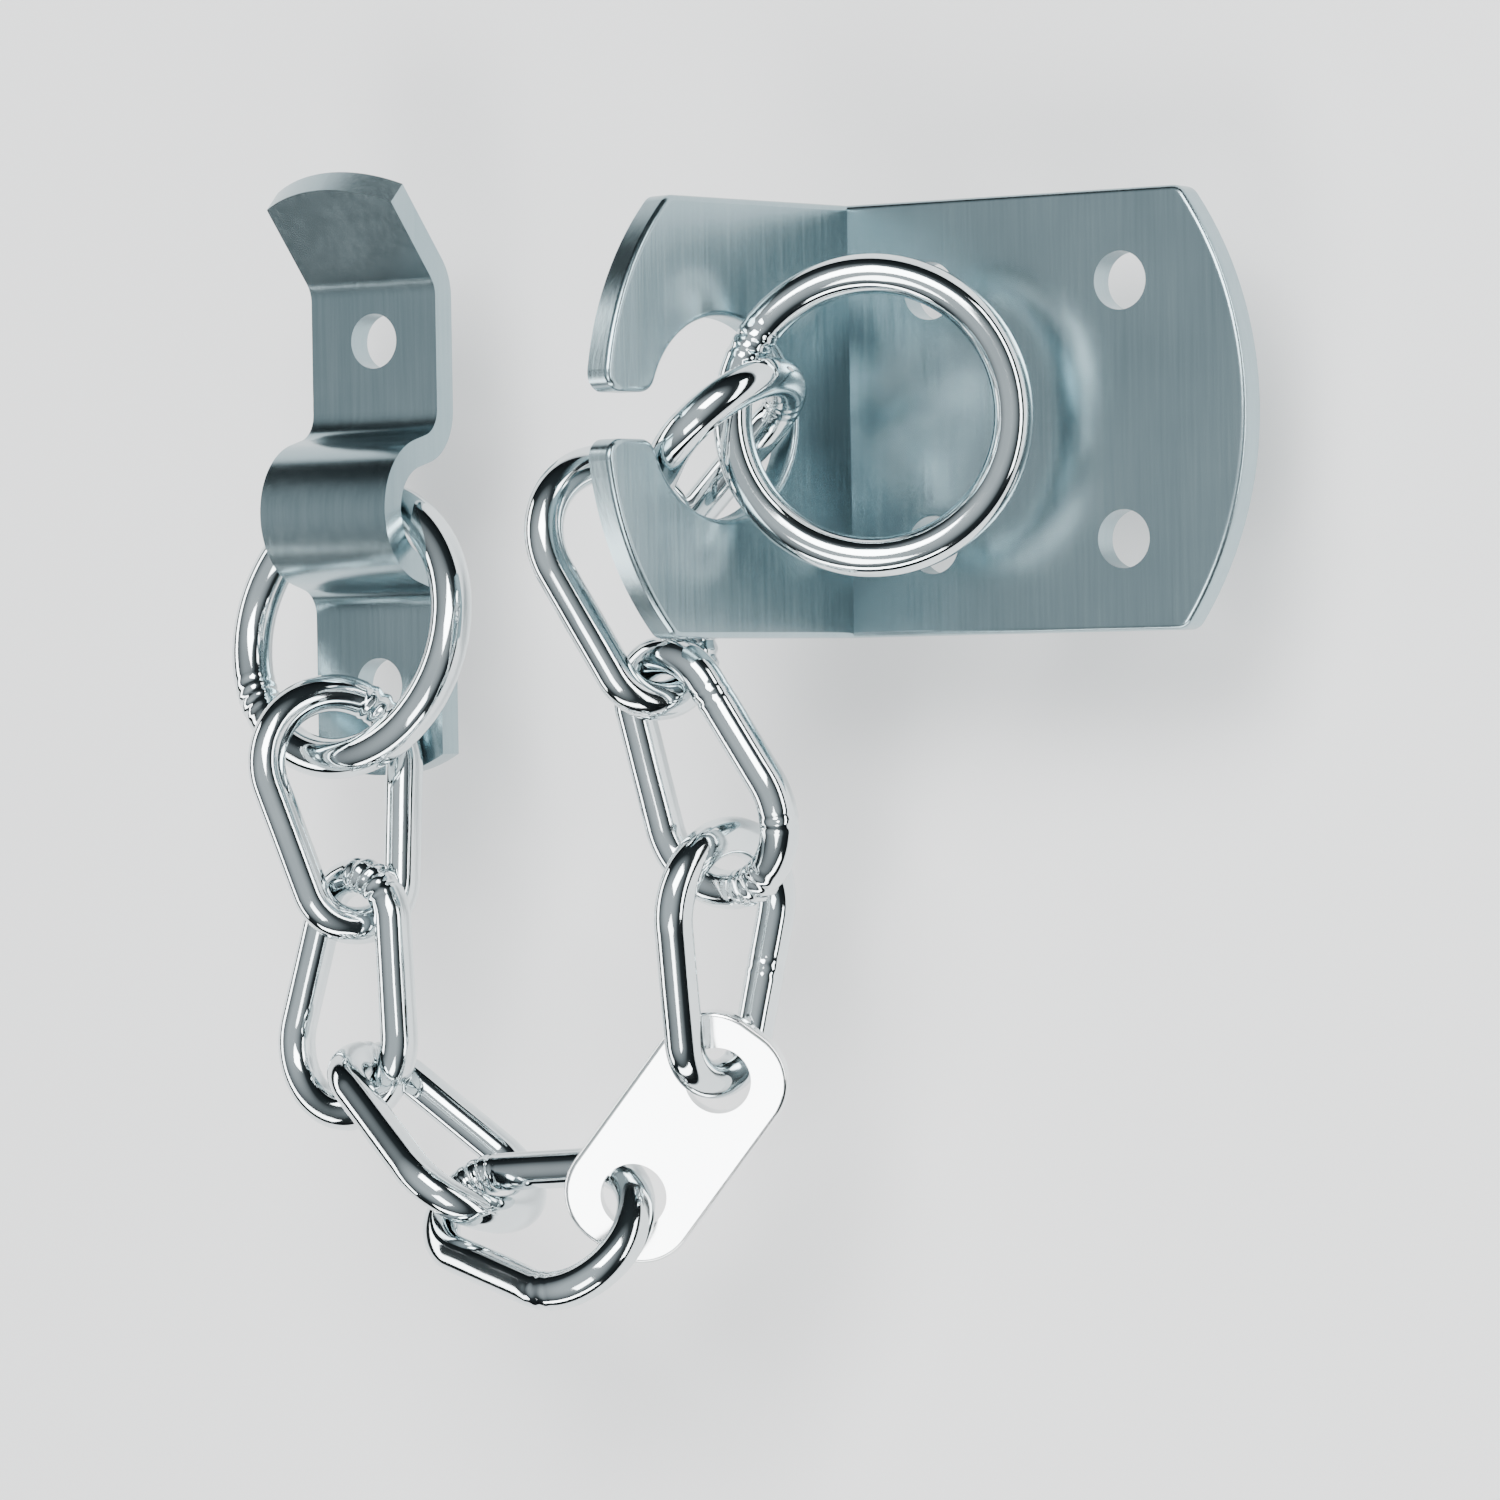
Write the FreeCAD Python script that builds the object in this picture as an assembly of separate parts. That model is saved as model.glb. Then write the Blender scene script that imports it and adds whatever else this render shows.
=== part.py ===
import FreeCAD, Part
import math
import os

V = FreeCAD.Vector

# Millimetres. X runs from the frame strap to the door plate, Y along the bend of the plate, Z away from
# the mounting surface. The origin is the centre of the door plate's four screws, on its back face.

# Door plate: one flat bar, bent up into a wing
BAR_WIDTH = 60.0
BAR_THICKNESS = 4.0
BASE_LENGTH = 62.0            # bend line to the tip of the rounded end
BASE_END_RADIUS = 51.0
WING_LENGTH = 47.5            # bend line to the tip of the rounded end
WING_END_RADIUS = 42.0
WING_ANGLE = 78.0             # degrees that the wing stands up from the mounting surface
CORNER_RADIUS = 2.5
EDGE_RADIUS = 0.8
SCREW_HOLE = 8.0
SCREW_PITCH_X = 30.0
SCREW_PITCH_Y = 35.0
FIRST_SCREW = 13.0            # bend line to the nearer pair of screws

# Chain links: pear-shaped, bent from one wire
LINK_WIRE = 5.5
WIDE_RADIUS = 10.2            # centre line of the wide bow
BOW_CLEARANCE = 1.5           # room round a wire that lies in a narrow bow
NARROW_RADIUS = LINK_WIRE + BOW_CLEARANCE
BOW_PITCH = 16.6              # centre of the wide bow to the centre of the narrow bow
LINK_LENGTH = WIDE_RADIUS + BOW_PITCH + NARROW_RADIUS
HOOK_GAP = 0.35               # air between two hooked wires

# Keyhole slot in the wing: a round hole for the link, and a neck open at the wing's end
KEYHOLE_CENTRE = 25.0         # along the wing from the bend line
KEYHOLE_CLEARANCE = 0.9
KEYHOLE_RADIUS = WIDE_RADIUS + LINK_WIRE / 2 + KEYHOLE_CLEARANCE
NECK_CLEARANCE = 0.4          # each side of the wire
NECK_WIDTH = LINK_WIRE + 2 * NECK_CLEARANCE
JAW_RADIUS = 2.6

# Rings
PULL_RING_WIRE = 5.5
PULL_RING_OUTER = 44.0
STRAP_RING_WIRE = 6.0
STRAP_RING_OUTER = 44.0

# Joining tag
TAG_THICKNESS = 2.5
TAG_WIDTH = 19.2
TAG_PITCH = 20.5              # hole to hole
TAG_HOLE_CLEARANCE = 1.9      # each side of the wire
TAG_HOLE = LINK_WIRE + 2 * TAG_HOLE_CLEARANCE
TAG_WEB = 4.2                 # metal between a hole and the tag's end
TAG_CORNER = 8.0
TAG_EDGE = 0.7

# Frame strap: one flat bar with a bump that holds the ring, and a raised lip
STRAP_WIDTH = 22.0
STRAP_THICKNESS = 4.0
TUNNEL_RADIUS = 6.5           # inside of the bump's crown
TUNNEL_HEIGHT = 13.5          # mounting surface to the inside of the crown
ROOT_RADIUS = 4.0             # outside bends where the bump leaves the flats
BUMP_ANGLE = 75.0             # degrees that the bump's sides stand up
STRAP_SCREW_ABOVE = 25.0      # bump to the upper screw
STRAP_SCREW_BELOW = 25.0      # bump to the lower screw
LOWER_END = 13.0              # lower screw to the lower end
LIP_START = 6.0               # upper screw to the start of the lip
LIP_RADIUS = 8.0
LIP_ANGLE = 43.0
LIP_LENGTH = 17.0
STRAP_END_RADIUS = 22.0
RING_IN_TUNNEL = 7.5          # height of the ring's wire in the tunnel

# How the chain lies: heading in plan, rise, and lean of each piece's own plane, in degrees
LINK_8_LIE = (-140.0, -19.0, 88.0)
LINK_8_REACH = 13.2           # front bow to the wing
LINK_8_ALONG = 24.5           # where it passes the wing, from the bend line
LINK_8_DROP = 3.3             # below the middle of the keyhole
PULL_RING_LIE = (4.0, -24.0, 2.0)
CHAIN_LIE = (
    ("chain_link_7", "wide", (-73.0, -9.0, -60.0)),
    ("chain_link_6", "narrow", (-70.0, -9.0, 10.0)),
    ("chain_link_5", "wide", (-97.0, -4.0, -79.0)),
    ("joining_tag", "tag", (-128.0, 7.0, -24.0)),
    ("chain_link_4", "wide", (175.0, -8.0, 36.0)),
    ("chain_link_3", "wide", (141.0, -2.0, 85.0)),
    ("chain_link_2", "wide", (85.0, -3.0, -9.0)),
    ("chain_link_1", "narrow", (100.0, 1.0, 51.0)),
)
AFTER_TAG = "chain_link_4"
STRAP_RING_LIE = (91.0, -6.0)
HOOK_STEP = 0.05              # steps in which a loop is eased back until it clears
RISE_TRIES = 4

BEND_X = -(FIRST_SCREW + SCREW_PITCH_X / 2)
BEND = V(BEND_X, 0, BAR_THICKNESS)
WING_UP = V(-math.cos(math.radians(WING_ANGLE)), 0, math.sin(math.radians(WING_ANGLE)))
WING_FRONT = V(math.sin(math.radians(WING_ANGLE)), 0, math.cos(math.radians(WING_ANGLE)))
Y_AXIS = V(0, 1, 0)
Z_AXIS = V(0, 0, 1)


def matrix(x_axis, y_axis, z_axis, at):
    """Placement with these axes and this origin."""
    rows = [(x_axis[i], y_axis[i], z_axis[i], at[i]) for i in range(3)]
    flat = [value for row in rows for value in row]
    return FreeCAD.Placement(FreeCAD.Matrix(*flat, 0, 0, 0, 1))


def lie_axes(heading, rise, lean):
    """Long axis, side axis and normal of a piece that lies this way."""
    yaw, pitch, roll = (math.radians(angle) for angle in (heading, rise, lean))
    along = V(math.cos(pitch) * math.cos(yaw), math.cos(pitch) * math.sin(yaw), math.sin(pitch))
    level = V(-math.sin(yaw), math.cos(yaw), 0)
    normal = along.cross(level) * math.cos(roll) - level * math.sin(roll)
    return along, normal.cross(along), normal


def rounded_slab(width, thickness, start, tip, end_radius):
    """Flat bar along X from start to a tip with an arc end; its top face is at z = 0."""
    slab = Part.makeBox(tip - start, width, thickness, V(start, -width / 2, -thickness))
    disc = Part.makeCylinder(end_radius, thickness, V(tip - end_radius, 0, -thickness))
    keep = Part.makeBox(tip - end_radius - start, width, thickness, V(start, -width / 2, -thickness))
    return slab.common(disc.fuse(keep)).removeSplitter()


def soften(shape, choose, radius):
    """Fillet the edges that choose() picks."""
    return shape.makeFillet(radius, [edge for edge in shape.Edges if choose(edge)])


def upright_corner(edge, z_low, z_high, x_least):
    """True for a short edge through the thickness, beyond x_least."""
    box = edge.BoundBox
    return box.ZLength > (z_high - z_low) * 0.9 and box.XLength < 0.01 and box.XMin > x_least


def keyhole_cut():
    """Solid that cuts the round hole, the neck and the rounded jaws."""
    depth = 3 * BAR_THICKNESS
    hole = Part.makeCylinder(KEYHOLE_RADIUS, depth, V(KEYHOLE_CENTRE, 0, -2 * BAR_THICKNESS))
    length = WING_LENGTH - KEYHOLE_CENTRE + 1
    neck = Part.makeBox(length, NECK_WIDTH, depth, V(KEYHOLE_CENTRE, -NECK_WIDTH / 2, -2 * BAR_THICKNESS))
    return hole.fuse(neck)


def jaw_corner(edge):
    """True for the four upright edges where the neck meets the hole and the wing's end."""
    box = edge.BoundBox
    on_neck = abs(abs(box.YMin) - NECK_WIDTH / 2) < 0.05 and box.YLength < 0.01
    return box.ZLength > BAR_THICKNESS * 0.9 and box.XLength < 0.01 and on_neck


def door_plate():
    """Base with four screw holes, and the wing with its keyhole slot."""
    base = rounded_slab(BAR_WIDTH, BAR_THICKNESS, 0, BASE_LENGTH, BASE_END_RADIUS)
    base = soften(base, lambda e: upright_corner(e, -BAR_THICKNESS, 0, 1), CORNER_RADIUS)
    base.translate(BEND)
    wing = rounded_slab(BAR_WIDTH, BAR_THICKNESS, 0, WING_LENGTH, WING_END_RADIUS)
    wing = soften(wing, lambda e: upright_corner(e, -BAR_THICKNESS, 0, 1), CORNER_RADIUS)
    wing = wing.cut(keyhole_cut())
    wing = soften(wing, jaw_corner, JAW_RADIUS)
    wing.Placement = matrix(WING_UP, WING_FRONT.cross(WING_UP), WING_FRONT, BEND)
    elbow = Part.makeCylinder(BAR_THICKNESS, BAR_WIDTH, BEND - Y_AXIS * BAR_WIDTH / 2, Y_AXIS)
    wedge_points = [V(0, 0, 0), WING_FRONT * -2 * BAR_THICKNESS, V(-2 * BAR_THICKNESS, 0, -3 * BAR_THICKNESS),
                    V(0, 0, -2 * BAR_THICKNESS), V(0, 0, 0)]
    wedge = Part.Face(Part.makePolygon([BEND - Y_AXIS * BAR_WIDTH / 2 + p for p in wedge_points]))
    elbow = elbow.common(wedge.extrude(Y_AXIS * BAR_WIDTH))
    plate = base.fuse([wing, elbow]).removeSplitter()
    rim = [edge for edge in plate.Edges if on_outer_rim(edge)]
    plate = plate.makeFillet(EDGE_RADIUS, rim)
    for x in (-SCREW_PITCH_X / 2, SCREW_PITCH_X / 2):
        for y in (-SCREW_PITCH_Y / 2, SCREW_PITCH_Y / 2):
            plate = plate.cut(Part.makeCylinder(SCREW_HOLE / 2, BAR_THICKNESS, V(x, y, 0)))
    return plate


def on_outer_rim(edge):
    """True for the long edges of the plate's faces, away from the bend."""
    box = edge.BoundBox
    base_rim = box.XMin > BEND_X + 0.5 and box.ZLength < 0.01 and box.ZMax > BAR_THICKNESS - 0.01
    on_side = box.YLength < 0.01 and abs(abs(box.YMin) - BAR_WIDTH / 2) < 0.01
    base_rim = base_rim and (on_side and box.XLength > 1 or not on_side)
    height = (edge.CenterOfMass - BEND).dot(WING_UP)
    depth = [(v.Point - BEND).dot(WING_FRONT) for v in edge.Vertexes]
    wing_rim = height > 1 and max(abs(d) for d in depth) < 0.01
    return base_rim or wing_rim


def pear_wire(lead):
    """Centre line of a link in its own XY plane, from its leading bow at the origin along +X."""
    turn = math.acos((WIDE_RADIUS - NARROW_RADIUS) / BOW_PITCH)
    wide = V(WIDE_RADIUS, 0, 0)
    narrow = V(WIDE_RADIUS + BOW_PITCH, 0, 0)

    def on_bow(centre, radius, angle):
        return centre + V(math.cos(angle), math.sin(angle), 0) * radius

    wide_top = on_bow(wide, WIDE_RADIUS, turn)
    wide_low = on_bow(wide, WIDE_RADIUS, -turn)
    narrow_top = on_bow(narrow, NARROW_RADIUS, turn)
    narrow_low = on_bow(narrow, NARROW_RADIUS, -turn)
    edges = [
        Part.Arc(wide_top, V(0, 0, 0), wide_low).toShape(),
        Part.makeLine(wide_low, narrow_low),
        Part.Arc(narrow_low, V(LINK_LENGTH, 0, 0), narrow_top).toShape(),
        Part.makeLine(narrow_top, wide_top),
    ]
    wire = Part.Wire(edges)
    if lead == "narrow":
        wire.rotate(V(LINK_LENGTH / 2, 0, 0), Z_AXIS, 180)
    return wire


def wire_rod(wire, diameter):
    """Round rod along a wire of straight runs and arcs."""
    if len(wire.Edges) == 1:
        ring = wire.Edges[0].Curve
        return Part.makeTorus(ring.Radius, diameter / 2, ring.Center, Z_AXIS)
    rods = []
    for edge in wire.Edges:
        start = edge.valueAt(edge.FirstParameter)
        tangent = edge.tangentAt(edge.FirstParameter)
        section = Part.Face(Part.Wire(Part.makeCircle(diameter / 2, start, tangent)))
        if edge.Curve.TypeId == "Part::GeomLine":
            rods.append(section.extrude(edge.valueAt(edge.LastParameter) - start))
            continue
        circle = edge.Curve
        radial = start - circle.Center
        axis = radial.cross(tangent).normalize()
        sweep = math.degrees(edge.Length / circle.Radius)
        rods.append(section.revolve(circle.Center, axis, sweep))
    return rods[0].fuse(rods[1:]).removeSplitter()


def ring_wire(radius):
    """Centre line of a ring in its own XY plane, touching the origin and lying along +X."""
    return Part.Wire(Part.makeCircle(radius, V(radius, 0, 0), Z_AXIS))


def tag_body():
    """Flat tag along X, with the first hole's centre at the origin."""
    reach = TAG_HOLE / 2 + TAG_WEB
    length = TAG_PITCH + 2 * reach
    body = Part.makeBox(length, TAG_WIDTH, TAG_THICKNESS, V(-reach, -TAG_WIDTH / 2, -TAG_THICKNESS / 2))
    body = soften(body, lambda e: e.BoundBox.ZLength > TAG_THICKNESS * 0.9, TAG_CORNER)
    body = body.makeFillet(TAG_EDGE, [e for e in body.Edges if e.BoundBox.ZLength < 0.01])
    for x in (0, TAG_PITCH):
        body = body.cut(Part.makeCylinder(TAG_HOLE / 2, TAG_THICKNESS, V(x, 0, -TAG_THICKNESS / 2)))
    return body


def strap_path():
    """Side view of the strap's mounting-side surface, as points and arcs in Y and Z about the bump."""
    lean = math.radians(BUMP_ANGLE)
    crown = TUNNEL_RADIUS
    root = ROOT_RADIUS + STRAP_THICKNESS
    rise = TUNNEL_HEIGHT - crown * (1 - math.cos(lean)) - root * (1 - math.cos(lean))
    side = crown * math.sin(lean)
    side_top = V(0, side, TUNNEL_HEIGHT - crown * (1 - math.cos(lean)))
    side_low = side_top + V(0, rise / math.tan(lean), -rise)
    foot = side_low + V(0, root * math.sin(lean), 0)
    foot.z = 0
    half = lean / 2
    root_middle = foot + V(0, -root * math.sin(half), root * (1 - math.cos(half)))
    return side_top, side_low, root_middle, foot


def mirrored(point):
    """The same point on the other side of the bump."""
    return V(point.x, -point.y, point.z)


def frame_strap():
    """Strap with its bump over y = 0 and its back faces at z = 0."""
    side_top, side_low, root_middle, foot = strap_path()
    lip = math.radians(LIP_ANGLE)
    lip_start = V(0, STRAP_SCREW_ABOVE + LIP_START, 0)
    lip_middle = lip_start + V(0, LIP_RADIUS * math.sin(lip / 2), LIP_RADIUS * (1 - math.cos(lip / 2)))
    lip_turn = lip_start + V(0, LIP_RADIUS * math.sin(lip), LIP_RADIUS * (1 - math.cos(lip)))
    lip_end = lip_turn + V(0, math.cos(lip), math.sin(lip)) * LIP_LENGTH
    low_end = V(0, -STRAP_SCREW_BELOW - LOWER_END, 0)
    edges = [
        Part.makeLine(low_end, mirrored(foot)),
        Part.Arc(mirrored(foot), mirrored(root_middle), mirrored(side_low)).toShape(),
        Part.makeLine(mirrored(side_low), mirrored(side_top)),
        Part.Arc(mirrored(side_top), V(0, 0, TUNNEL_HEIGHT), side_top).toShape(),
        Part.makeLine(side_top, side_low),
        Part.Arc(side_low, root_middle, foot).toShape(),
        Part.makeLine(foot, lip_start),
        Part.Arc(lip_start, lip_middle, lip_turn).toShape(),
        Part.makeLine(lip_turn, lip_end),
    ]
    under = Part.Wire(edges)
    section = under.makeOffset2D(STRAP_THICKNESS, 2, True, True)
    over_height = section.BoundBox.ZMax
    if over_height < TUNNEL_HEIGHT + STRAP_THICKNESS / 2:
        section = under.makeOffset2D(-STRAP_THICKNESS, 2, True, True)
    sheet = Part.Face(Part.Wire(Part.__sortEdges__(section.Edges)))
    strap = sheet.extrude(V(STRAP_WIDTH, 0, 0))
    strap.translate(V(-STRAP_WIDTH / 2, 0, 0))
    strap = round_strap_ends(strap, low_end, lip_end, lip)
    for y in (STRAP_SCREW_ABOVE, -STRAP_SCREW_BELOW):
        strap = strap.cut(Part.makeCylinder(SCREW_HOLE / 2, STRAP_THICKNESS, V(0, y, 0)))
    return strap


def round_strap_ends(strap, low_end, lip_end, lip):
    """Cut an arc on the lower end and on the lip's end."""
    depth = 4 * STRAP_THICKNESS
    for tip, outward, normal in (
        (low_end, V(0, -1, 0), Z_AXIS),
        (lip_end, V(0, math.cos(lip), math.sin(lip)), V(0, -math.sin(lip), math.cos(lip))),
    ):
        centre = tip - outward * STRAP_END_RADIUS
        sagitta = STRAP_END_RADIUS - math.sqrt(STRAP_END_RADIUS ** 2 - (STRAP_WIDTH / 2) ** 2)
        block = Part.makeBox(STRAP_WIDTH, 2 * sagitta, depth, V(-STRAP_WIDTH / 2, -sagitta, -depth / 2))
        block.Placement = matrix(V(1, 0, 0), outward, V(1, 0, 0).cross(outward), tip)
        disc = Part.makeCylinder(STRAP_END_RADIUS, depth, centre - normal * depth / 2, normal)
        strap = strap.cut(block.cut(disc))
    return strap


class Piece:
    """A looped piece in its place: its solid, its centre line and its two bows."""

    def __init__(self, solid, diameter, length, axes, start, pivot, axis):
        self.solid = solid.copy()
        self.solid.Placement = matrix(*axes, start)
        self.along, self.side, self.normal = axes
        self.diameter = diameter
        self.start = start
        self.end = start + self.along * length
        self.pivot = pivot
        self.axis = axis


class Loop(Piece):
    """A link or a ring: a closed wire with a leading bow and a trailing bow."""

    def __init__(self, kind, axes, start, pivot, axis):
        wire, diameter, length, self.lead_radius, self.tail_radius = KINDS[kind]()
        super().__init__(wire_rod(wire, diameter), diameter, length, axes, start, pivot, axis)
        self.wire = wire
        self.wire.Placement = matrix(*axes, start)

    def lead(self):
        """Centre, radius and outward direction of the leading bow."""
        return self.start + self.along * self.lead_radius, self.lead_radius, self.along * -1

    def tail(self):
        """Centre, radius and outward direction of the trailing bow."""
        return self.end - self.along * self.tail_radius, self.tail_radius, self.along


def wide_link():
    return pear_wire("wide"), LINK_WIRE, LINK_LENGTH, WIDE_RADIUS, NARROW_RADIUS


def narrow_link():
    return pear_wire("narrow"), LINK_WIRE, LINK_LENGTH, NARROW_RADIUS, WIDE_RADIUS


def pull_loop():
    radius = (PULL_RING_OUTER - PULL_RING_WIRE) / 2
    return ring_wire(radius), PULL_RING_WIRE, 2 * radius, radius, radius


def strap_loop():
    radius = (STRAP_RING_OUTER - STRAP_RING_WIRE) / 2
    return ring_wire(radius), STRAP_RING_WIRE, 2 * radius, radius, radius


KINDS = {"wide": wide_link, "narrow": narrow_link, "pull": pull_loop, "strap": strap_loop}


def pull_between(front, outward, axes):
    """Direction in which two hooked loops pull tight: along the line where their planes cross."""
    pull = front.normal.cross(axes[2]).normalize()
    if pull.dot(outward + axes[0]) < 0:
        pull = pull * -1
    return pull


def hooked(front, bow, kind, axes, pull):
    """Loop hooked on one bow of another: it is pulled until only HOOK_GAP is left."""
    centre, radius, _ = bow
    wire, diameter, _, lead_radius, _ = KINDS[kind]()
    need = (diameter + front.diameter) / 2 + HOOK_GAP

    def start_at(overlap):
        return centre + pull * (radius + lead_radius - overlap) - axes[0] * lead_radius

    def gap(overlap):
        wire.Placement = matrix(*axes, start_at(overlap))
        return wire.distToShape(front.wire)[0]

    overlap = need
    while gap(overlap) < need and overlap < 2 * need:
        overlap += HOOK_STEP
    return Loop(kind, axes, start_at(overlap), centre + pull * radius, pull.cross(front.normal))


def square_crossing(loop_normal, tag_normal, outward):
    """Direction of a bow's wire where it passes a tag most squarely, and that place's direction from the bow."""
    tangent = (tag_normal - loop_normal * tag_normal.dot(loop_normal)).normalize()
    radial = tangent.cross(loop_normal)
    if radial.dot(outward) < 0:
        radial = radial * -1
    return tangent, radial


def first_link():
    """Link 8, which hangs in the keyhole."""
    axes = lie_axes(*LINK_8_LIE)
    crossing = BEND + WING_UP * LINK_8_ALONG - WING_FRONT * (BAR_THICKNESS / 2) - Y_AXIS * LINK_8_DROP
    return Loop("wide", axes, crossing - axes[0] * LINK_8_REACH, crossing, WING_FRONT)


def hung_tag(front, axes):
    """Tag whose first hole is round the trailing bow of a link."""
    centre, radius, outward = front.tail()
    tangent, radial = square_crossing(front.normal, axes[2], outward)
    start = centre + radial * radius
    return Piece(tag_body(), TAG_THICKNESS, TAG_PITCH, axes, start, start, tangent)


def tag_link(tag, kind, axes):
    """Link whose leading bow passes the tag's second hole."""
    radius = KINDS[kind]()[3]
    tangent, radial = square_crossing(axes[2], tag.normal, axes[0] * -1)
    start = tag.end - radial * radius - axes[0] * radius
    return Loop(kind, axes, start, tag.end, tangent)


def lay_chain():
    """Every looped piece in its place, each hooked on the one before it."""
    front = first_link()
    pieces = {"chain_link_8": front}
    axes = lie_axes(*PULL_RING_LIE)
    pieces["pull_ring"] = hooked(front, front.lead(), "pull", axes, axes[0])
    for name, kind, lie in CHAIN_LIE:
        axes = lie_axes(*lie)
        if kind == "tag":
            front = hung_tag(front, axes)
        elif name == AFTER_TAG:
            front = tag_link(front, kind, axes)
        else:
            front = hooked(front, front.tail(), kind, axes, pull_between(front, front.along, axes))
        pieces[name] = front
    pieces["strap_ring"] = ring_for_strap(front)
    return pieces


def ring_for_strap(front):
    """Ring on link 1, tilted so that its far side lies in the strap's tunnel."""
    heading, lean = STRAP_RING_LIE
    rise = 0
    for _ in range(RISE_TRIES):
        axes = lie_axes(heading, rise, lean)
        ring = hooked(front, front.tail(), "strap", axes, pull_between(front, front.along, axes))
        rise = math.degrees(math.asin((RING_IN_TUNNEL - ring.start.z) / (STRAP_RING_OUTER - STRAP_RING_WIRE)))
    return ring


def strap_place(ring):
    """Where the bump's middle goes, so that the ring's curve has the same room on both sides."""
    radius = ring.tail_radius
    sagitta = radius - math.sqrt(radius ** 2 - (STRAP_WIDTH / 2) ** 2)
    return V(ring.end.x, ring.end.y - sagitta / 2, 0)


def build():
    """Every sub-part by name, and the looped pieces in their places."""
    pieces = lay_chain()
    parts = {name: piece.solid for name, piece in pieces.items()}
    parts["door_plate"] = door_plate()
    strap = frame_strap()
    strap.translate(strap_place(pieces["strap_ring"]))
    parts["frame_strap"] = strap
    return parts, pieces


def main():
    os.makedirs("parts", exist_ok=True)
    parts, _ = build()
    for name, shape in parts.items():
        shape.exportStep("parts/" + name + ".step")
        print(name, "valid", shape.isValid(), "solids", len(shape.Solids), "volume", round(shape.Volume, 1))


if __name__ == "__main__":
    main()
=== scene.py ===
# %% [markdown]
# # Door chain guard
# A door chain guard is two bent steel bars, one for the door and one for the frame, joined by a
# welded chain. Every piece is bright zinc, so the looks depend on reflections more than on colour.
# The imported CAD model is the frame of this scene. The door plate, the frame strap and the tag keep
# their CAD solids and take a finish. Each welded loop gets a finer shape with its weld, which
# stands for its CAD node.

# %% Start
import bpy
import math
import numpy as np
from mathutils import Matrix, Vector, noise


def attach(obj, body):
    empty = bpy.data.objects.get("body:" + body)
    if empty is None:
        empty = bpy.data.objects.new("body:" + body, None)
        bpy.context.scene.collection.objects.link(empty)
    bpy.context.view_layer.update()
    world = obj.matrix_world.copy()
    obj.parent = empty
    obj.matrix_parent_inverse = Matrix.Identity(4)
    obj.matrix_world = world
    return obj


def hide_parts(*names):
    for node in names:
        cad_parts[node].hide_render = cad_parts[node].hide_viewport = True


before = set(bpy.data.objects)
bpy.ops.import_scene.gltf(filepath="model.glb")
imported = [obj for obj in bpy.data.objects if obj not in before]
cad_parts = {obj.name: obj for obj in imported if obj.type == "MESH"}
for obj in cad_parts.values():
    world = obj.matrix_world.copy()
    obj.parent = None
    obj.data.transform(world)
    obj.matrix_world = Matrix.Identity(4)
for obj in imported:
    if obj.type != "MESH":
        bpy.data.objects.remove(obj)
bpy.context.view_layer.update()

# %% [markdown]
# ## Sizes
# A link is bent from one length of wire, wide at one end and narrow at the other, so its wire, two
# radii and a pitch describe it. The sizes are the CAD's own, in millimetres. Blender works in
# metres, so a shape is scaled once, when its mesh is made. A finer grid would not show: the weld's
# ridges are 1.7 mm apart and a step is 0.3 mm.

# %% Sizes
MM = 0.001
LINK_WIRE = 5.5
WIDE_RADIUS = 10.2            # centre line of a link's wide bow
NARROW_RADIUS = 7.0           # centre line of its narrow bow
BOW_PITCH = 16.6              # between the centres of the two bows
RING_WIRES = {"pull_ring": 5.5, "strap_ring": 6.0}
RING_OUTER = 44.0
AROUND = 28                   # points round a wire
ALONG = 300                   # points along a loop


# %% [markdown]
# ## Shapes of the loops
# A chain link is wire bent to a pear shape and closed by a butt weld, which leaves ridges and small
# lumps. A bevelled curve would give the bare tube in a line or two, but its surface could not carry
# the weld. So the centre line is worked out as points in the loop's own plane, and a ring of points
# is placed round each. The radius of every point is then free to rise at a weld and to dip where
# the wire was bent.

# %% Centre line of a link
def pear_line():
    """Centre line of a link from the tip of its wide bow, evenly spaced, anticlockwise and centred."""
    turn = math.acos((WIDE_RADIUS - NARROW_RADIUS) / BOW_PITCH)
    leg = BOW_PITCH * math.sin(turn)
    wide_arc = WIDE_RADIUS * (math.pi - turn)
    narrow_arc = NARROW_RADIUS * turn
    half = wide_arc + leg + narrow_arc
    middle = (BOW_PITCH + NARROW_RADIUS - WIDE_RADIUS) / 2
    points = []
    for step in range(ALONG):
        run = 2 * half * step / ALONG
        mirror = -1 if run < half else 1
        run = min(run, 2 * half - run)
        if run < wide_arc:
            angle = math.pi - run / WIDE_RADIUS
            x, y = WIDE_RADIUS * math.cos(angle), WIDE_RADIUS * math.sin(angle)
        elif run < wide_arc + leg:
            part = (run - wide_arc) / leg
            radius = WIDE_RADIUS + (NARROW_RADIUS - WIDE_RADIUS) * part
            x, y = BOW_PITCH * part + radius * math.cos(turn), radius * math.sin(turn)
        else:
            angle = turn - (run - wide_arc - leg) / NARROW_RADIUS
            x, y = BOW_PITCH + NARROW_RADIUS * math.cos(angle), NARROW_RADIUS * math.sin(angle)
        points.append((x - middle, mirror * y))
    return np.array(points), 2 * half


print("link: centre line", round(pear_line()[1], 1), "mm round")


# %% Centre line of a ring
def round_line(radius):
    """Centre line of a ring from the point on its own -X side, anticlockwise."""
    angles = math.pi + 2 * math.pi * np.arange(ALONG) / ALONG
    return np.c_[np.cos(angles), np.sin(angles)] * radius, 2 * math.pi * radius


pull_radius = (RING_OUTER - RING_WIRES["pull_ring"]) / 2
print("pull ring: centre line", round(round_line(pull_radius)[1], 1), "mm round")


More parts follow.
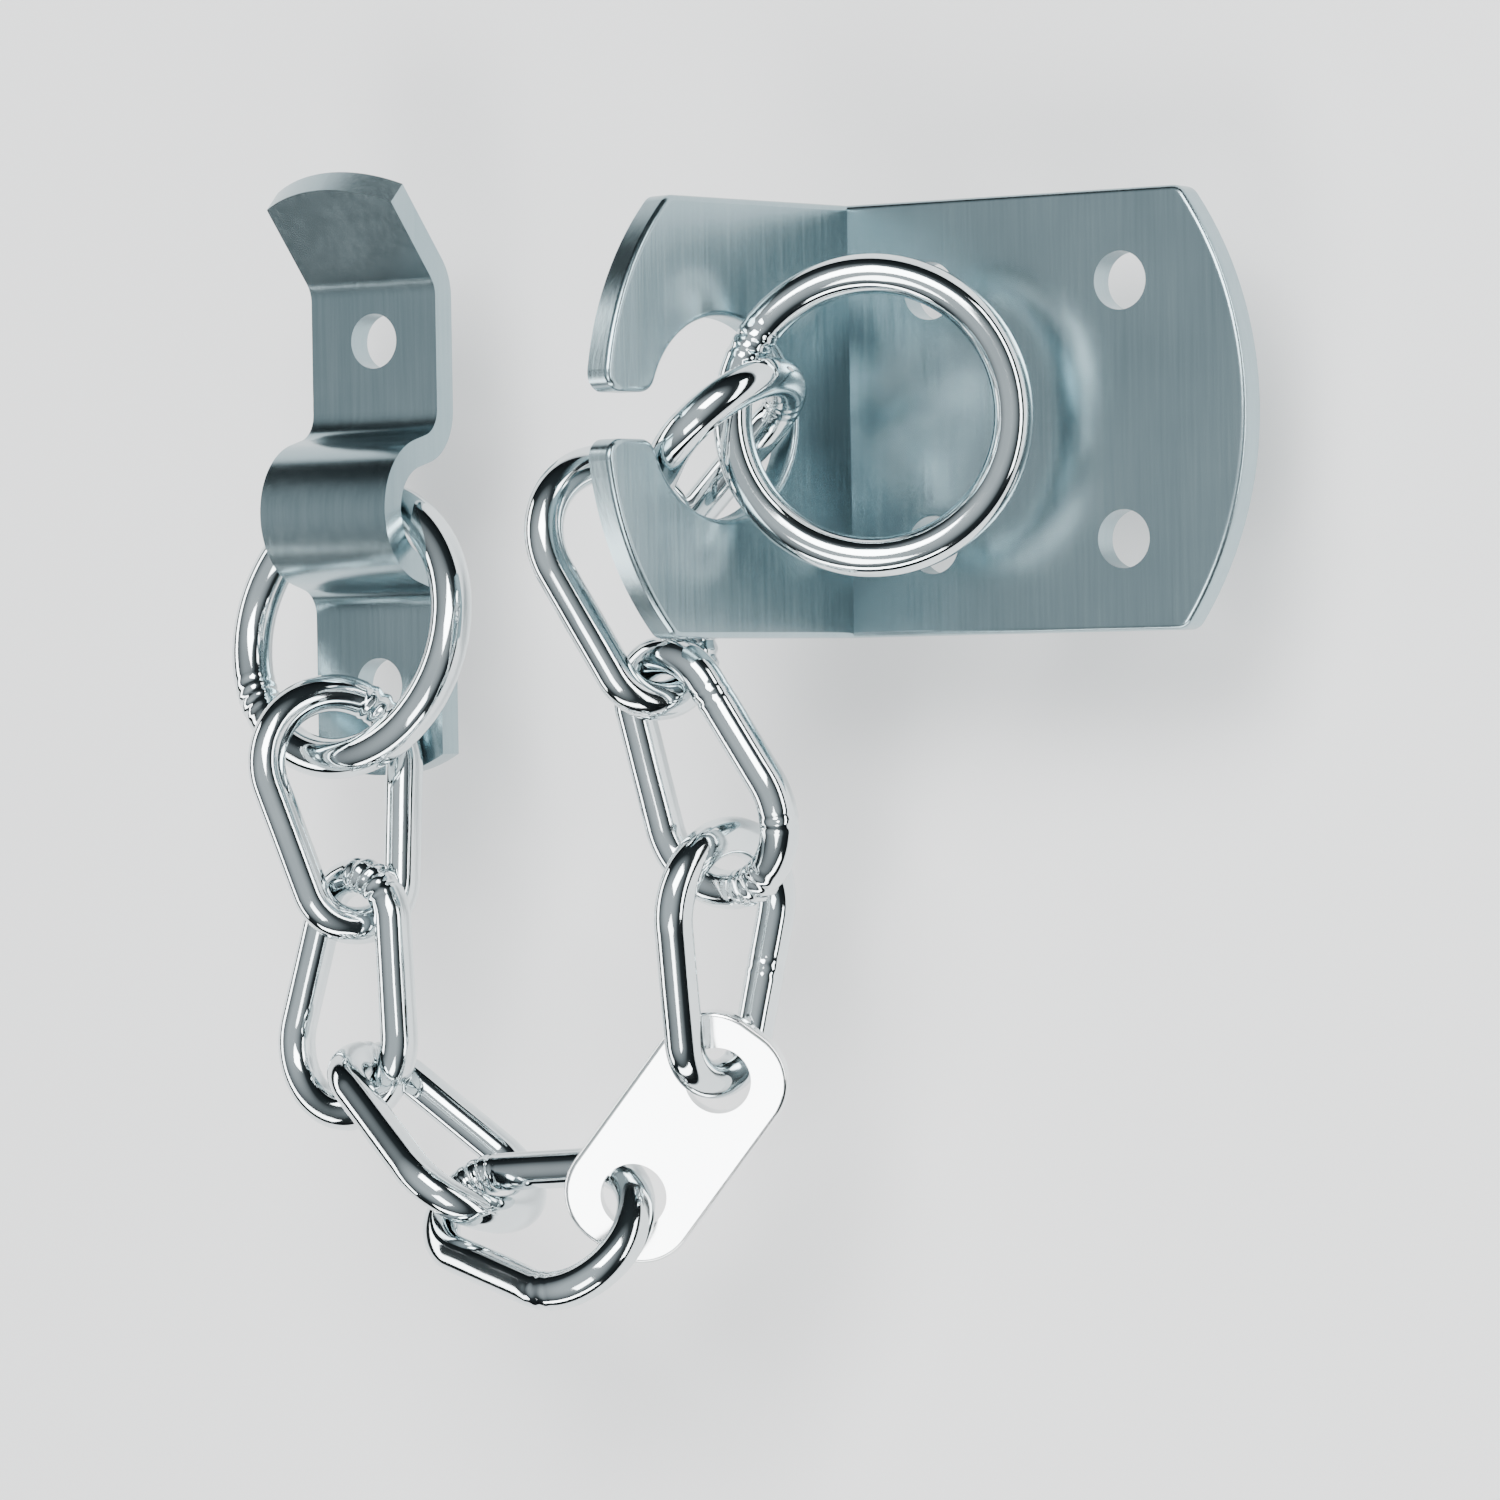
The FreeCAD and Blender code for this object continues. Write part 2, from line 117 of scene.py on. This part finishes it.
# %% Weld relief
RIDGE_SPACING = 1.7           # mm between the ridges across a weld
FAR_SIDE = 0.35               # part of the relief left on the weld's far side
RIDGE_WANDER = 0.5            # mm, how far a ridge strays along the wire
END_SOFTNESS = 0.7
RIDGE_SHARE = 0.5
LUMP_SHARE = 0.8
LUMPS_PER_MM = 1.3
LUMPS_ROUND = 2
SINK = 0.15                   # part of the height by which the whole weld is lowered


def weld_relief(along, around, seed, length, height):
    """How far the surface stands out at a weld, in mm: cross ridges, small lumps and soft ends."""
    if abs(along) > length:
        return 0.0
    window = math.cos(math.pi / 2 * along / length) ** END_SOFTNESS
    drift = RIDGE_WANDER * math.sin(around + seed)
    ridges = math.sin(2 * math.pi * (along + drift) / RIDGE_SPACING)
    across = Vector((0, math.cos(around) * LUMPS_ROUND, math.sin(around) * LUMPS_ROUND + seed))
    lumps = noise.noise(across + Vector((along * LUMPS_PER_MM, 0, 0)))
    one_side = FAR_SIDE + (1 - FAR_SIDE) * max(0.0, math.cos(around - seed))
    return height * window * one_side * (RIDGE_SHARE * ridges + LUMP_SHARE * lumps - SINK)


# %% Unevenness of the wire
BEND_DIP = 0.05               # mm, half the deepest dip
DIPS_PER_MM = 0.12
DIPS_ROUND = 0.6
SEED_STEP = 3.1               # moves each loop to another place in the noise


def hammered(along, around, seed):
    """Slight unevenness of a bent wire, in mm. It only dips, so that hooked wires stay clear."""
    turned = Vector((0, math.cos(around) * DIPS_ROUND, math.sin(around) * DIPS_ROUND + seed * SEED_STEP))
    place = turned + Vector((along * DIPS_PER_MM, 0, 0))
    return BEND_DIP * (noise.noise(place) - 1)


print("weld ridges", RIDGE_SPACING, "mm apart; wire dips up to", 2 * BEND_DIP, "mm")


# %% Swept loop
WELD_SEED_STEP = 1.9


def swept_loop(name, line, round_length, wire, welds, seed):
    """Closed tube along a flat centre line. welds holds (place 0 to 1, half length, height) for each."""
    count = len(line)
    ahead = np.roll(line, -1, axis=0) - np.roll(line, 1, axis=0)
    ahead /= np.linalg.norm(ahead, axis=1)[:, None]
    outward = np.c_[ahead[:, 1], -ahead[:, 0]]
    verts = []
    for i in range(count):
        run = round_length * i / count
        for j in range(AROUND):
            angle = 2 * math.pi * j / AROUND
            radius = wire / 2 + hammered(run if i < count / 2 else round_length - run, angle, seed)
            for k, (place, half, height) in enumerate(welds):
                gap = (run - place * round_length + round_length / 2) % round_length - round_length / 2
                radius += weld_relief(gap, angle, seed + WELD_SEED_STEP * k, half, height)
            flat = line[i] + outward[i] * radius * math.cos(angle)
            verts.append((flat[0], flat[1], radius * math.sin(angle)))
    faces = []
    for i in range(count):
        for j in range(AROUND):
            near, far, turn = i * AROUND, (i + 1) % count * AROUND, (j + 1) % AROUND
            faces.append((near + j, near + turn, far + turn, far + j))
    mesh = bpy.data.meshes.new(name)
    mesh.from_pydata([Vector(v) * MM for v in verts], [], faces)
    mesh.polygons.foreach_set("use_smooth", [True] * len(faces))
    mesh.update()
    return bpy.data.objects.new(name, mesh)


print("points on one loop", ALONG * AROUND)


# %% [markdown]
# ## Where each loop lies
# Each loop hangs at its own tilt. Its place could be typed in, but then a change in the CAD would
# leave it behind. So its axes are read from its CAD node: the thinnest direction is the normal and
# the longest is the length. A round ring has no longest direction, so its own X axis is turned to
# face the side that its weld is on.

# %% Reading a loop's place
CENTRING_ROUNDS = 3
END_SHARE = 25                # per cent of the points that count as one end


def place_of(node, weld_side=None):
    """Matrix of a loop's own axes and middle, +X towards its narrow end, or towards its weld's side."""
    points = np.array([v.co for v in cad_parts[node].data.vertices])
    middle = (points.max(axis=0) + points.min(axis=0)) / 2
    for _ in range(CENTRING_ROUNDS):
        _, directions = np.linalg.eigh(np.cov((points - middle).T))
        normal, side, along = directions.T
        spans = [((points @ axis).max() + (points @ axis).min()) / 2 for axis in (along, side, normal)]
        middle = along * spans[0] + side * spans[1] + normal * spans[2]
    local = (points - middle) @ np.c_[along, side, normal]
    tail = np.abs(local[local[:, 0] > np.percentile(local[:, 0], 100 - END_SHARE)][:, 1]).max()
    head = np.abs(local[local[:, 0] < np.percentile(local[:, 0], END_SHARE)][:, 1]).max()
    if tail > head:
        along = -along
    if weld_side:
        along = np.array(weld_side) - normal * normal.dot(weld_side)
        along /= np.linalg.norm(along)
    if normal[2] < 0:
        normal = -normal
    side = np.cross(normal, along)
    matrix = Matrix.Identity(4)
    for column, axis in enumerate((along, side, normal, middle)):
        for row in range(3):
            matrix[row][column] = axis[row]
    return matrix


# %% [markdown]
# ## The loops
# There are eight links and two rings, welded at different places. Each weld is given as a part of
# the way round from the tip of the wide bow, then its half length and its height in millimetres.

# %% Where the welds are
LINK_WELDS = {
    "chain_link_1": [(0.90, 3.5, 0.45)],
    "chain_link_2": [(0.47, 4.0, 0.45)],
    "chain_link_3": [(0.46, 4.0, 0.45)],
    "chain_link_4": [(0.42, 3.5, 0.40), (0.83, 2.0, 0.20)],
    "chain_link_5": [(0.90, 3.5, 0.40), (0.72, 2.0, 0.30)],
    "chain_link_6": [(0.02, 4.0, 0.50), (0.14, 1.2, 0.20), (0.36, 2.0, 0.20)],
    "chain_link_7": [(0.60, 5.0, 0.40)],
    "chain_link_8": [(0.15, 2.5, 0.25)],
}
RING_WELDS = {"pull_ring": [(0.50, 3.5, 0.60)], "strap_ring": [(0.50, 4.0, 0.50)]}
RING_WELD_SIDES = {"pull_ring": (-0.71, 0.53, 0.45), "strap_ring": (-0.79, -0.36, 0.50)}
print("welds and scars on the links", sum(len(welds) for welds in LINK_WELDS.values()))

# %% Links and rings
FIRST_RING_SEED = 10
loops = {}
link_line, link_round = pear_line()
for seed, (node, welds) in enumerate(LINK_WELDS.items()):
    loops[node] = swept_loop(node + "_shape", link_line, link_round, LINK_WIRE, welds, seed)
for seed, (node, welds) in enumerate(RING_WELDS.items()):
    wire = RING_WIRES[node]
    ring_line, ring_round = round_line((RING_OUTER - wire) / 2)
    loops[node] = swept_loop(node + "_shape", ring_line, ring_round, wire, welds, FIRST_RING_SEED + seed)

# %% Put each loop in its place
for node, loop in loops.items():
    bpy.context.scene.collection.objects.link(loop)
    loop.data.transform(place_of(node, RING_WELD_SIDES.get(node)))
    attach(loop, node)
    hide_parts(node)
    print(node, "faces", len(loop.data.polygons))


# %% [markdown]
# ## Finishes
# The two bars have a satin zinc with fine lines across the bend, like the marks of a sanding belt.
# The zinc of the loops and the tag is polished. Plating seldom comes out quite even, so both vary
# in soft patches. The lines and the patches are made once as node groups, and each finish places
# them with its own values. Noise was chosen over a picture because it has no seams and no fixed
# size.

# %% Start of a shared effect
def effect(name, inputs, outputs):
    """Empty node group with named inputs (name, value) and outputs (name, type)."""
    tree = bpy.data.node_groups.new(name, "ShaderNodeTree")
    for label, value in inputs:
        socket = tree.interface.new_socket(label, in_out="INPUT", socket_type="NodeSocketFloat")
        socket.default_value = value
    for label, kind in outputs:
        tree.interface.new_socket(label, in_out="OUTPUT", socket_type=kind)
    return tree, tree.nodes.new("NodeGroupInput"), tree.nodes.new("NodeGroupOutput")


# %% Brushing
BRUSHING_OUTPUTS = [("Streak", "NodeSocketFloat"), ("Normal", "NodeSocketVector")]
LINE_STRETCH = (1.0, 0.03, 1.0)   # long along Y
LINE_SCALE = 1500.0
LINE_DEPTH = 0.00005              # metres


def brushing_effect():
    """Fine lines along Y: a value for roughness and colour, and a normal."""
    tree, given, result = effect("brushing", [("Depth", 0.1)], BRUSHING_OUTPUTS)
    place = tree.nodes.new("ShaderNodeTexCoord")
    stretch = tree.nodes.new("ShaderNodeMapping")
    stretch.inputs["Scale"].default_value = LINE_STRETCH
    lines = tree.nodes.new("ShaderNodeTexNoise")
    lines.inputs["Scale"].default_value = LINE_SCALE
    lines.inputs["Detail"].default_value = 3.0
    bump = tree.nodes.new("ShaderNodeBump")
    bump.inputs["Distance"].default_value = LINE_DEPTH
    tree.links.new(place.outputs["Object"], stretch.inputs["Vector"])
    tree.links.new(stretch.outputs["Vector"], lines.inputs["Vector"])
    tree.links.new(lines.outputs["Fac"], bump.inputs["Height"])
    tree.links.new(given.outputs["Depth"], bump.inputs["Strength"])
    tree.links.new(lines.outputs["Fac"], result.inputs["Streak"])
    tree.links.new(bump.outputs["Normal"], result.inputs["Normal"])
    return tree


# %% Clouding
def clouding_effect():
    """Soft patches from the plating bath, as a value from 0 to 1."""
    tree, given, result = effect("clouding", [("Scale", 60.0)], [("Patch", "NodeSocketFloat")])
    place = tree.nodes.new("ShaderNodeTexCoord")
    patches = tree.nodes.new("ShaderNodeTexNoise")
    patches.inputs["Detail"].default_value = 4.0
    tree.links.new(place.outputs["Object"], patches.inputs["Vector"])
    tree.links.new(given.outputs["Scale"], patches.inputs["Scale"])
    tree.links.new(patches.outputs["Fac"], result.inputs["Patch"])
    return tree


# %% Build both effects
BRUSHING = brushing_effect()
CLOUDING = clouding_effect()
print("effects", BRUSHING.name, CLOUDING.name)


# %% Metal finish
STREAK_SHARE = 0.4            # how much of the variation comes from the brushing


def metal(name, dark, light, rough_low, rough_high, cloud_scale, brushed):
    """Zinc finish. Colour and roughness vary with the clouding, and with the brushing if brushed."""
    material = bpy.data.materials.new(name)
    material.use_nodes = True
    nodes, links = material.node_tree.nodes, material.node_tree.links
    shader = nodes["Principled BSDF"]
    shader.inputs["Metallic"].default_value = 1.0
    clouding = nodes.new("ShaderNodeGroup")
    clouding.node_tree = CLOUDING
    clouding.inputs["Scale"].default_value = cloud_scale
    value = clouding.outputs["Patch"]
    if brushed:
        brushing = nodes.new("ShaderNodeGroup")
        brushing.node_tree = BRUSHING
        brushing.inputs["Depth"].default_value = brushed
        links.new(brushing.outputs["Normal"], shader.inputs["Normal"])
        blend = nodes.new("ShaderNodeMath")
        blend.operation = "MULTIPLY_ADD"
        blend.inputs[1].default_value = STREAK_SHARE
        links.new(brushing.outputs["Streak"], blend.inputs[0])
        scaled = nodes.new("ShaderNodeMath")
        scaled.operation = "MULTIPLY"
        scaled.inputs[1].default_value = 1 - STREAK_SHARE
        links.new(value, scaled.inputs[0])
        links.new(scaled.outputs["Value"], blend.inputs[2])
        value = blend.outputs["Value"]
    colour = nodes.new("ShaderNodeMix")
    colour.data_type = "RGBA"
    colour.inputs["A"].default_value = (*dark, 1)
    colour.inputs["B"].default_value = (*light, 1)
    rough = nodes.new("ShaderNodeMapRange")
    rough.inputs["To Min"].default_value = rough_low
    rough.inputs["To Max"].default_value = rough_high
    links.new(value, colour.inputs["Factor"])
    links.new(value, rough.inputs["Value"])
    links.new(colour.outputs["Result"], shader.inputs["Base Color"])
    links.new(rough.outputs["Result"], shader.inputs["Roughness"])
    return material


# %% The three finishes
SATIN_ZINC = metal("satin_zinc", (0.19, 0.28, 0.31), (0.42, 0.52, 0.55), 0.16, 0.32, 45.0, 0.22)
BRIGHT_ZINC = metal("bright_zinc", (0.52, 0.58, 0.60), (0.78, 0.83, 0.84), 0.04, 0.11, 90.0, 0)
TAG_ZINC = metal("tag_zinc", (0.80, 0.83, 0.84), (0.93, 0.95, 0.95), 0.10, 0.18, 60.0, 0)


def wear(piece, material):
    """Give a piece one finish."""
    piece.data.materials.clear()
    piece.data.materials.append(material)


# %% Give every piece its finish
for node in ("door_plate", "frame_strap"):
    wear(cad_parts[node], SATIN_ZINC)
wear(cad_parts["joining_tag"], TAG_ZINC)
for loop in loops.values():
    wear(loop, BRIGHT_ZINC)
print("finishes", SATIN_ZINC.name, BRIGHT_ZINC.name, TAG_ZINC.name, "on", 3 + len(loops), "pieces")

# %% [markdown]
# ## Floor, light and camera
# Polished wire shows only what stands round it. Large soft lights alone would make it plain white,
# so the air between them is nearly black near the horizon, and that gives the dark streaks. The
# floor is a plain pale backdrop. It lies below the lowest point that the strap reaches as the chain
# swings, which is 26 mm down. One lamp is placed where the tag's face mirrors it.

# %% Floor
FLOOR_DROP = 0.030            # metres
FLOOR_SIZE = 6
bpy.ops.mesh.primitive_plane_add(size=FLOOR_SIZE, location=(0, 0, -FLOOR_DROP))
floor = bpy.context.object
floor.name = "floor"
paper = bpy.data.materials.new("white_paper")
paper.use_nodes = True
paper.node_tree.nodes["Principled BSDF"].inputs["Base Color"].default_value = (0.95, 0.95, 0.95, 1)
paper.node_tree.nodes["Principled BSDF"].inputs["Roughness"].default_value = 0.9
wear(floor, paper)
print("floor", round(FLOOR_DROP / MM), "mm below the mounting surface")


# %% A soft light
def soft_light(name, place, target, width, height, power):
    """Rectangular light at a place in metres, facing a target."""
    light = bpy.data.lights.new(name, "AREA")
    light.shape = "RECTANGLE"
    light.size, light.size_y, light.energy = width, height, power
    lamp = bpy.data.objects.new(name, light)
    bpy.context.scene.collection.objects.link(lamp)
    lamp.location = place
    lamp.rotation_euler = (Vector(target) - Vector(place)).to_track_quat("-Z", "Y").to_euler()
    return lamp


# %% Lights
centre = (-0.04, -0.03, 0.02)
soft_light("key_above", (0.30, 0.45, 1.0), centre, 0.55, 0.55, 16)
soft_light("tag_light", (0.16, -0.46, 0.85), (-0.047, -0.1, 0.02), 0.35, 0.35, 4)
soft_light("strip_left", (-0.95, -0.1, 0.35), centre, 1.4, 0.22, 9)
soft_light("strip_right", (0.90, 0.2, 0.30), centre, 1.2, 0.18, 7)
soft_light("strip_low", (0.0, -1.0, 0.40), centre, 1.2, 0.2, 8)
print("lights", len(bpy.data.lights))


# %% Air around the table
def studio_air():
    """Grey overhead and nearly black near the horizon, for the dark streaks in polished wire."""
    world = bpy.data.worlds.new("studio_air")
    world.use_nodes = True
    nodes, links = world.node_tree.nodes, world.node_tree.links
    direction = nodes.new("ShaderNodeTexCoord")
    height = nodes.new("ShaderNodeSeparateXYZ")
    ramp = nodes.new("ShaderNodeValToRGB")
    ramp.color_ramp.elements[0].position = 0.05
    ramp.color_ramp.elements[0].color = (0.01, 0.012, 0.014, 1)
    ramp.color_ramp.elements[1].position = 0.95
    ramp.color_ramp.elements[1].color = (0.85, 0.92, 0.96, 1)
    middle = ramp.color_ramp.elements.new(0.5)
    middle.color = (0.04, 0.05, 0.055, 1)
    links.new(direction.outputs["Generated"], height.inputs["Vector"])
    links.new(height.outputs["Z"], ramp.inputs["Fac"])
    links.new(ramp.outputs["Color"], nodes["Background"].inputs["Color"])
    nodes["Background"].inputs["Strength"].default_value = 0.8
    return world


bpy.context.scene.world = studio_air()
print("air", bpy.context.scene.world.name)

# %% [markdown]
# ## Camera
# A long lens from above and to one side keeps the two bars almost free of perspective. The way it
# faces is given by two of its axes. The third is worked out from them, so that all three are square.

# %% Camera
RIGHT = Vector((0.8458, -0.0166, -0.5333))
BACK = Vector((0.5334, 0.0028, 0.8459))
CAMERA_PLACE = (0.4621, -0.0427, 0.8088)
SENSOR = 36
LENS = 162.95
camera_data = bpy.data.cameras.new("camera")
camera_data.sensor_width = SENSOR
camera_data.lens = LENS
camera = bpy.data.objects.new("camera", camera_data)
bpy.context.scene.collection.objects.link(camera)
right = (RIGHT - BACK * RIGHT.dot(BACK)).normalized()
up = BACK.cross(right).normalized()
turned = Matrix((right, up, BACK.normalized())).transposed().to_4x4()
camera.matrix_world = Matrix.Translation(CAMERA_PLACE) @ turned
bpy.context.scene.camera = camera
print("camera", [round(value, 3) for value in camera.matrix_world.translation])
